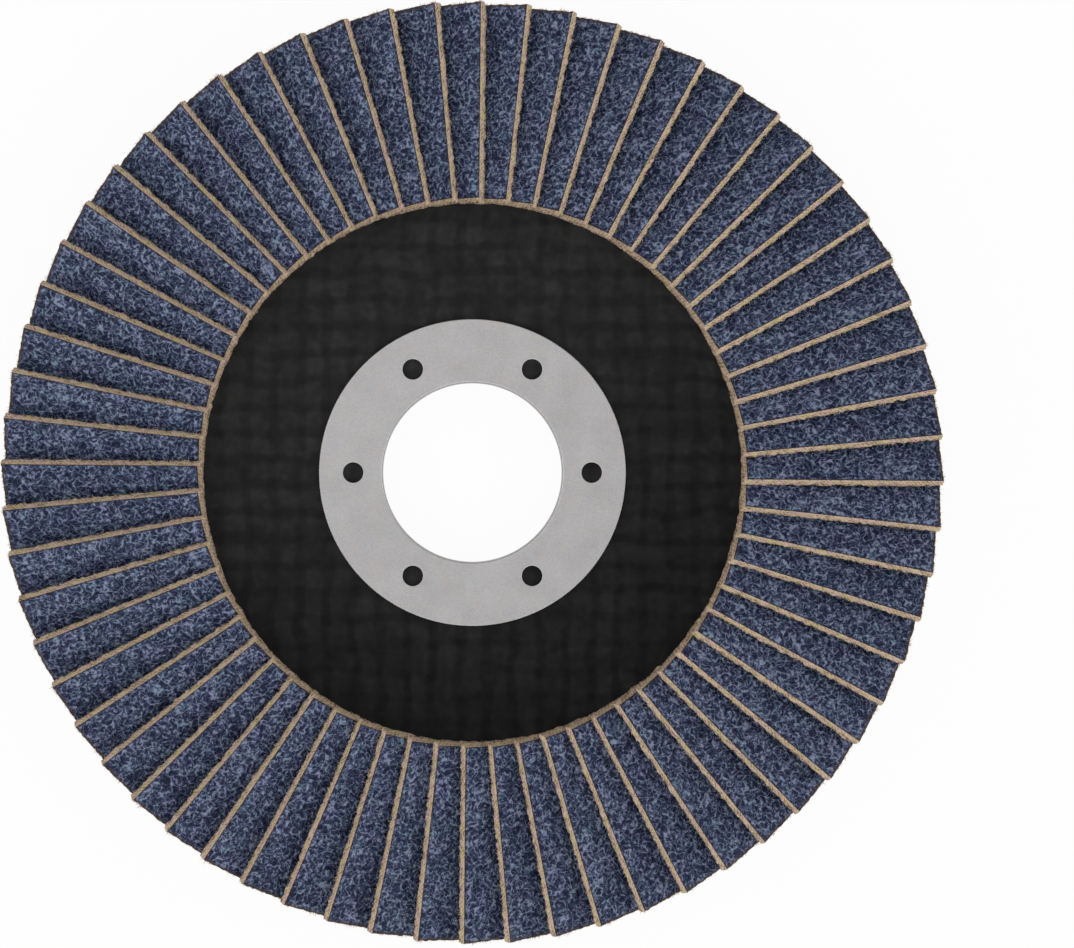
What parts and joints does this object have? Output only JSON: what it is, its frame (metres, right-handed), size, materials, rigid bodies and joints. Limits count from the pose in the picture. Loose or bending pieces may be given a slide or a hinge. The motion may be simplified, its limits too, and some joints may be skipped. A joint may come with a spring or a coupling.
{
  "type": "flap disc",
  "caption": "Flat flap disc for an angle grinder: overlapping coated-cloth flaps bonded in a ring on a round backing plate with a steel-lined centre bore.",
  "frame": {"origin": "on the bore's axis, in the plane of the backing plate's back face", "axes": "+Z along the bore's axis, from the back face towards the flaps; +Y is the top of the picture and +X its right"},
  "size_m": [0.1148, 0.1148, 0.0098],
  "materials": {
    "plate": "matt, with a faint woven grid",
    "ring": "satin",
    "adhesive": "matt",
    "flap": "gritty abrasive coat on cloth"
  },
  "bodies": {
    "root": {"backing_plate": "plate", "hub_ring": "ring", "adhesive_bead": "adhesive", "flap_pair_01": "flap", "flap_pair_02": "flap", "flap_pair_03": "flap", "flap_pair_04": "flap", "flap_pair_05": "flap", "flap_pair_06": "flap", "flap_pair_07": "flap", "flap_pair_08": "flap", "flap_pair_09": "flap", "flap_pair_10": "flap", "flap_pair_11": "flap", "flap_pair_12": "flap", "flap_pair_13": "flap", "flap_pair_14": "flap", "flap_pair_15": "flap", "flap_pair_16": "flap", "flap_pair_17": "flap", "flap_pair_18": "flap", "flap_pair_19": "flap", "flap_pair_20": "flap", "flap_pair_21": "flap", "flap_pair_22": "flap", "flap_pair_23": "flap", "flap_pair_24": "flap", "flap_pair_25": "flap", "flap_pair_26": "flap", "flap_pair_27": "flap", "flap_pair_28": "flap", "flap_pair_29": "flap", "flap_pair_30": "flap", "flap_pair_31": "flap", "flap_pair_32": "flap"}
  },
  "joints": []
}
